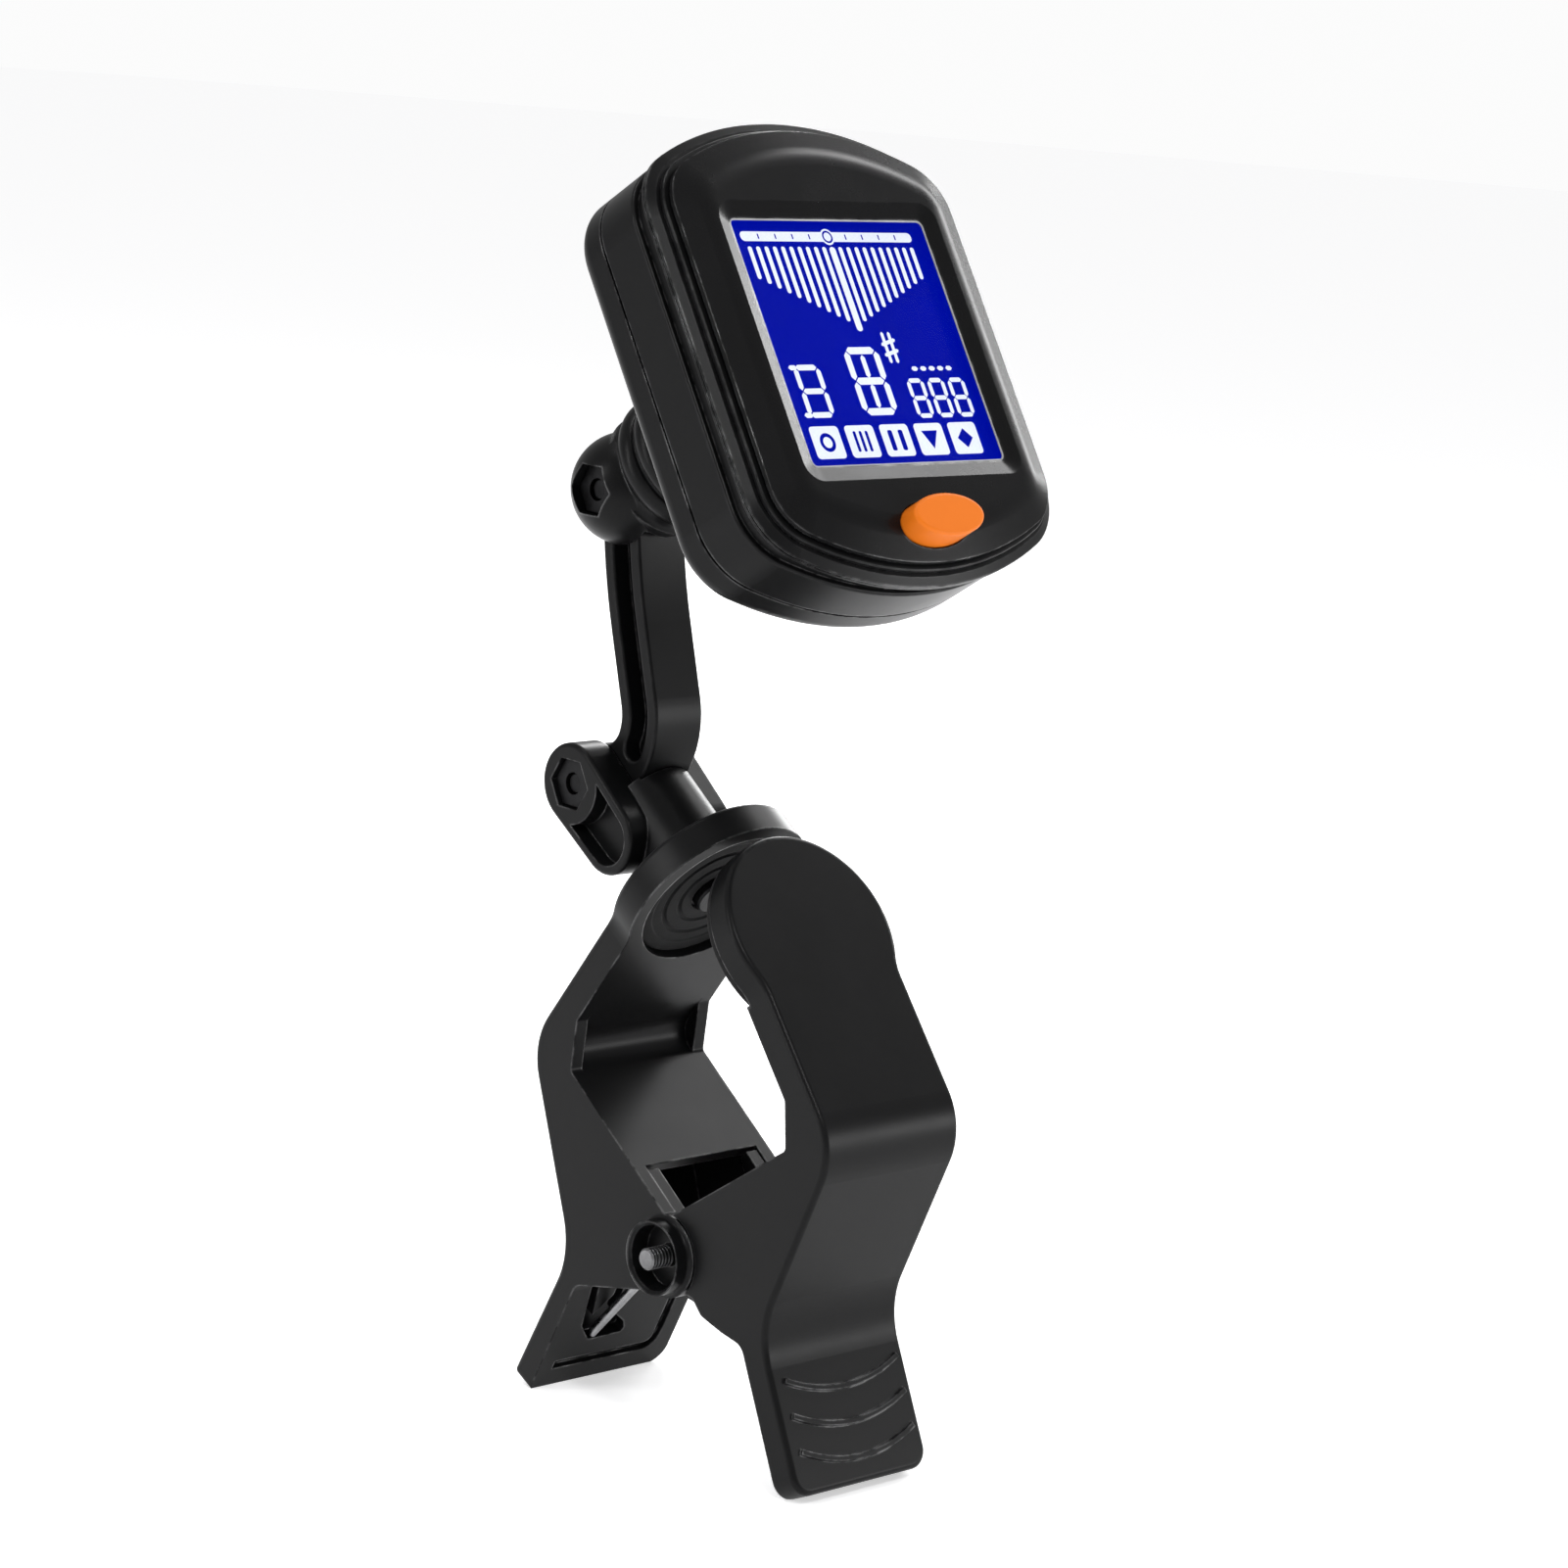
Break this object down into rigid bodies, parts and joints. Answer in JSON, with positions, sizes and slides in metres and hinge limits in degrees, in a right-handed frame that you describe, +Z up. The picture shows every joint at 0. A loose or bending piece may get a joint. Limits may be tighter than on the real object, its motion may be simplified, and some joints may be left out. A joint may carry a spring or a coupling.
{
  "type": "clip-on tuner",
  "caption": "Clip-on tuner with a spring clip, swivel arm and tilting rounded head holding a lit display and one oval button.",
  "frame": {"origin": "middle of the bounding box at the height of the handle tips, which it can stand on", "axes": "+X along the hinge pins, -Y towards the side the display faces, +Z up along the closed clip"},
  "size_m": [0.0432, 0.0537, 0.141],
  "materials": {
    "black_abs": "satin moulded plastic",
    "satin_black": "satin moulded plastic",
    "gloss_black": "semi-gloss moulded plastic",
    "pad_rubber": "matte rubber",
    "clear_lens": "clear acrylic",
    "lcd_glass": "lit blue",
    "light_guide": "milky diffuser",
    "circuit_board": "solder mask",
    "orange_button": "satin silicone",
    "switch_black": "moulded",
    "cell_steel": "pressed nickel steel",
    "nickel_strip": "nickel strip",
    "piezo_brass": "brass disc",
    "black_steel": "black oxide",
    "spring_steel": "drawn wire",
    "plated_steel": "zinc plated",
    "sleeve_plastic": "moulded"
  },
  "bodies": {
    "clip": {"rear_jaw": "black_abs", "rear_pad_ring": "pad_rubber", "jaw_screw": "plated_steel", "jaw_spacer": "sleeve_plastic", "torsion_spring": "spring_steel"},
    "front_jaw": {"front_jaw": "black_abs", "front_pad": "pad_rubber", "spring_front_leg": "spring_steel"},
    "clevis": {"clip_clevis": "black_abs", "clip_swivel_washer": "black_steel", "clip_swivel_screw": "black_steel", "lower_hinge_screw": "black_steel", "lower_hinge_nut": "black_steel"},
    "arm": {"arm": "black_abs"},
    "yoke": {"head_yoke": "black_abs", "head_swivel_washer": "plated_steel", "head_swivel_screw": "plated_steel", "upper_hinge_screw": "black_steel", "upper_hinge_nut": "black_steel"},
    "head": {"bezel": "gloss_black", "front_housing": "satin_black", "rear_housing": "satin_black", "display_lens": "clear_lens", "lcd_panel": "lcd_glass", "backlight": "light_guide", "main_pcb": "circuit_board", "tact_switch": "switch_black", "coin_cell": "cell_steel", "battery_contacts": "nickel_strip", "piezo_disc": "piezo_brass", "case_screws": "black_steel"},
    "button": {"button": "orange_button"},
    "battery_door": {"battery_door": "satin_black"}
  },
  "joints": [
    {"name": "jaw_hinge", "type": "hinge", "parent": "clip", "child": "front_jaw", "pos_m": [0, -0.00215, 0.02118], "axis": [1, 0, 0], "range_deg": [0, 30], "stiffness_Nm_per_rad": 0.35, "springref_deg": -25.78},
    {"name": "clip_swivel", "type": "hinge", "parent": "clip", "child": "clevis", "pos_m": [0, 0.00723, 0.06032], "axis": [0, 0.8202, 0.5721], "range_deg": [-90, 90]},
    {"name": "lower_hinge", "type": "hinge", "parent": "clevis", "child": "arm", "pos_m": [0, 0.02115, 0.06798], "axis": [1, 0, 0], "range_deg": [-110, 0]},
    {"name": "upper_hinge", "type": "hinge", "parent": "arm", "child": "yoke", "pos_m": [0, 0.02085, 0.10038], "axis": [1, 0, 0], "range_deg": [-90, 5]},
    {"name": "head_swivel", "type": "hinge", "parent": "yoke", "child": "head", "pos_m": [0, 0.00218, 0.11263], "axis": [0, -0.8358, 0.549], "range_deg": [-90, 90]},
    {"name": "button_press", "type": "slide", "parent": "head", "child": "button", "axis": [0, 0.8358, -0.549], "range_m": [0, 0.0007], "stiffness_N_per_m": 1500},
    {"name": "battery_door_pull", "type": "slide", "parent": "head", "child": "battery_door", "axis": [0, 0.8358, -0.549], "range_m": [0, 0.01]}
  ]
}
